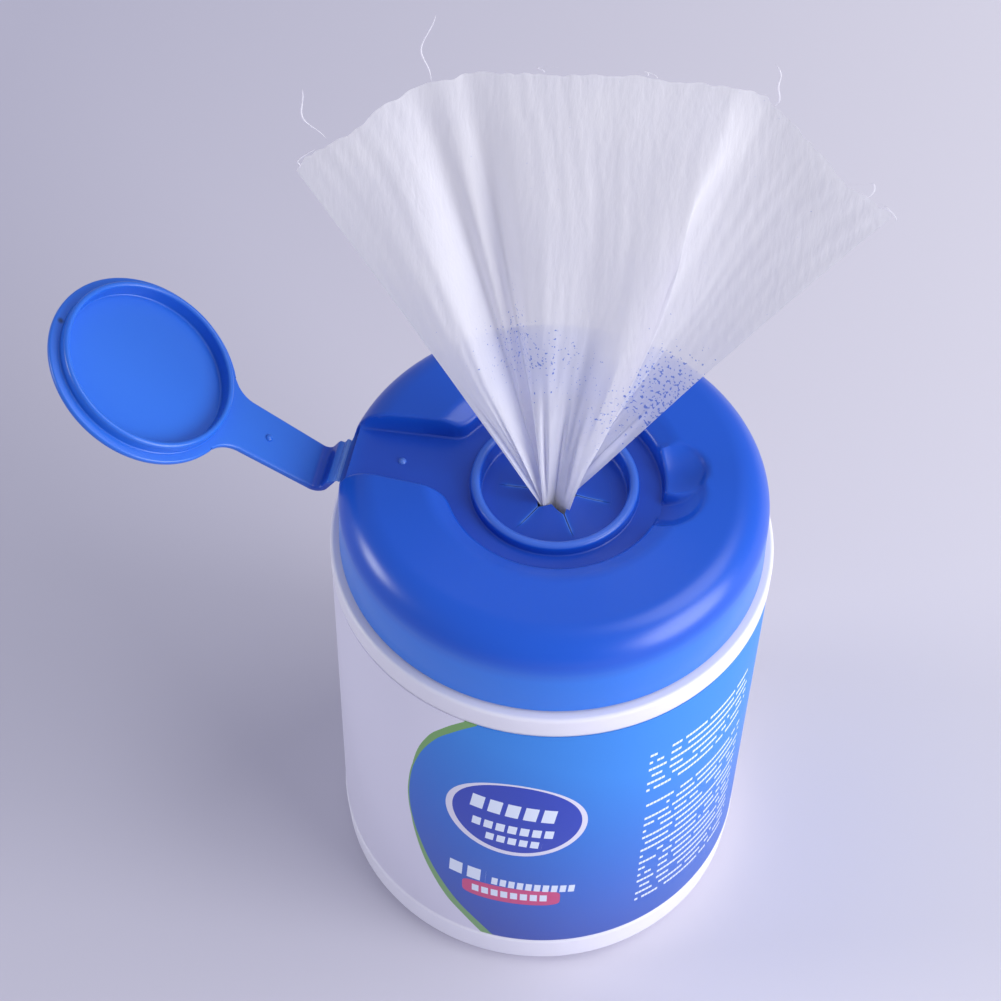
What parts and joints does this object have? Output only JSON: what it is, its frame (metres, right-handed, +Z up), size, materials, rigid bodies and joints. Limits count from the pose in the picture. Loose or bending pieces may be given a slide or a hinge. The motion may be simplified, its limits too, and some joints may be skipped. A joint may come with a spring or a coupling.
{
  "type": "wipes canister",
  "caption": "Round upright canister of wet wipes: white tub with a printed wrap, blue push-fit lid with a spout, an open flip cap on a living hinge and one wipe fanned out of the spout.",
  "frame": {"origin": "centre of the tub's flat base", "axes": "+Z up along the canister's axis, the cap's hinge and strap at -X, the picture's view from -Y and above"},
  "size_m": [0.1696, 0.099, 0.2415],
  "materials": {
    "tub_plastic": "blow-moulded natural white polyethylene, slightly translucent",
    "label_film": "printed plastic film wrap, satin",
    "lid_plastic": "injection-moulded blue polypropylene, semi-gloss",
    "cap_plastic": "injection-moulded blue polypropylene, semi-gloss",
    "roll_cloth": "wet spunlace nonwoven, rolled",
    "wipe_cloth": "creped spunlace nonwoven, thin and translucent"
  },
  "bodies": {
    "tub": {"tub": "tub_plastic", "label": "label_film", "wipe_roll": "roll_cloth"},
    "lid": {"lid": "lid_plastic", "wipe": "wipe_cloth"},
    "flip_cap": {"flip_cap": "cap_plastic"}
  },
  "joints": [
    {"name": "lid_lift", "type": "slide", "parent": "tub", "child": "lid", "axis": [0, 0, 1], "range_m": [0, 0.035]},
    {"name": "cap_hinge", "type": "hinge", "parent": "lid", "child": "flip_cap", "pos_m": [-0.04735, 0, 0.1273], "axis": [0, -1, 0], "range_deg": [-147, 15], "deforming": ["wipe"]}
  ]
}
